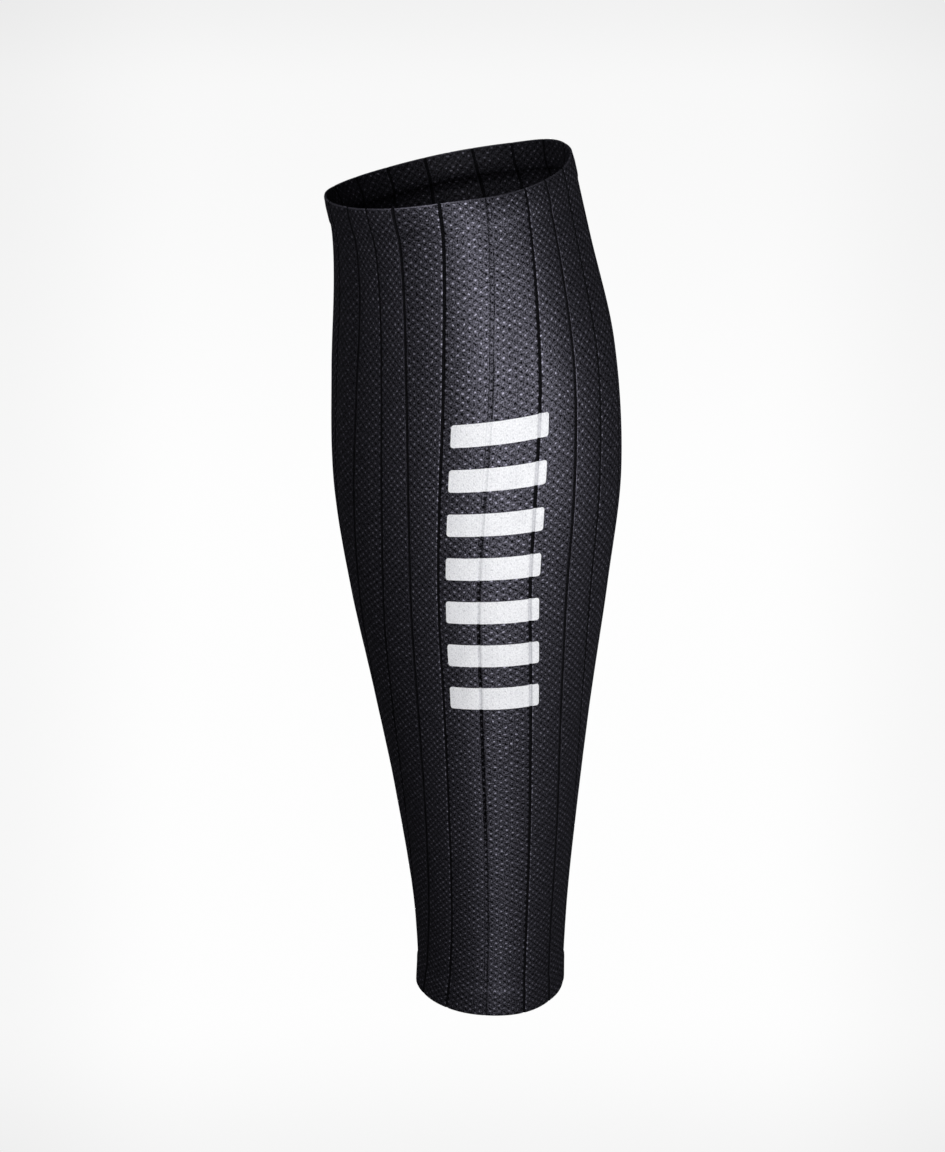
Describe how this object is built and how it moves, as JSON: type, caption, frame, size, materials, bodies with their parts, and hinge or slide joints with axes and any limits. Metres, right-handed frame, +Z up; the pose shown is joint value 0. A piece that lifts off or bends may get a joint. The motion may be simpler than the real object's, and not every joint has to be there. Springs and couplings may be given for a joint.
{
  "type": "calf compression sleeve",
  "caption": "Leg-shaped footless knitted sleeve with lengthwise grooves, a turned-in hem at each open end and plain pale bars printed on the shin.",
  "frame": {"origin": "middle of the hollow where the calf is widest, where the sleeve sits on the leg", "axes": "+Z up the leg from the ankle to the knee, -Y the way the shin faces, +X toward the side where the calf bulges more"},
  "size_m": [0.1158, 0.1222, 0.3397],
  "materials": {
    "knit": "matte charcoal knit",
    "hem_knit": "matte charcoal knit, turned in",
    "print": "matte off-white print film"
  },
  "bodies": {
    "root": {"sleeve_body": "knit", "ankle_hem": "hem_knit", "knee_hem": "hem_knit", "print_bar_1": "print", "print_bar_2": "print", "print_bar_3": "print", "print_bar_4": "print", "print_bar_5": "print", "print_bar_6": "print", "print_bar_7": "print"}
  },
  "joints": []
}
